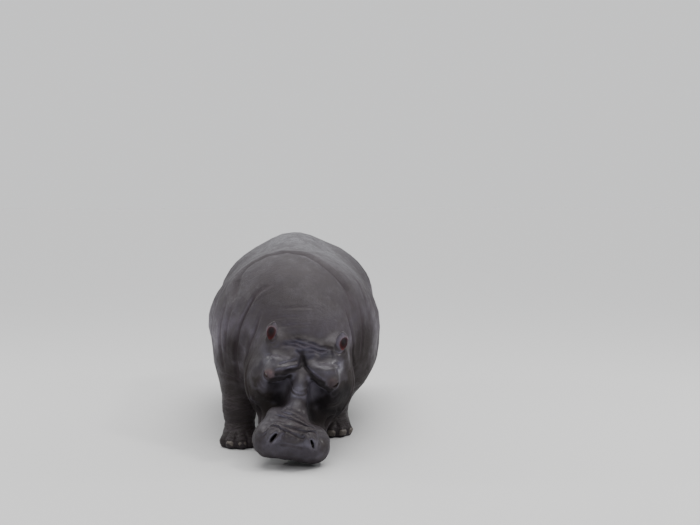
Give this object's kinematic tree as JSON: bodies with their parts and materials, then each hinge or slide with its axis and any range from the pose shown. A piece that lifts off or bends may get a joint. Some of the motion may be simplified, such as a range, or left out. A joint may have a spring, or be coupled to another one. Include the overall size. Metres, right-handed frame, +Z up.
{
  "type": "hippopotamus model",
  "caption": "Still, life-size model of a grazing hippopotamus bull, standing with its head lowered to the ground.",
  "frame": {"origin": "middle of the whole model's box, on the floor under its belly", "axes": "+Z up, the animal faces -Y, +X is its left"},
  "size_m": [1.3799, 3.0113, 1.4553],
  "materials": {
    "hide": "thick bare hide, satin, darker below",
    "ear_skin": "thin bare skin, satin, pinker inside",
    "eye": "wet gloss",
    "nail": "dull horn"
  },
  "bodies": {
    "root": {"trunk": "hide", "neck": "hide", "head": "hide", "tail": "hide", "foreleg_left": "hide", "foreleg_right": "hide", "hindleg_left": "hide", "hindleg_right": "hide", "ear_left": "ear_skin", "ear_right": "ear_skin", "eye_left": "eye", "eye_right": "eye", "nail_fore_left_1": "nail", "nail_fore_left_2": "nail", "nail_fore_left_3": "nail", "nail_fore_left_4": "nail", "nail_fore_right_1": "nail", "nail_fore_right_2": "nail", "nail_fore_right_3": "nail", "nail_fore_right_4": "nail", "nail_hind_left_1": "nail", "nail_hind_left_2": "nail", "nail_hind_left_3": "nail", "nail_hind_left_4": "nail", "nail_hind_right_1": "nail", "nail_hind_right_2": "nail", "nail_hind_right_3": "nail", "nail_hind_right_4": "nail"}
  },
  "joints": []
}
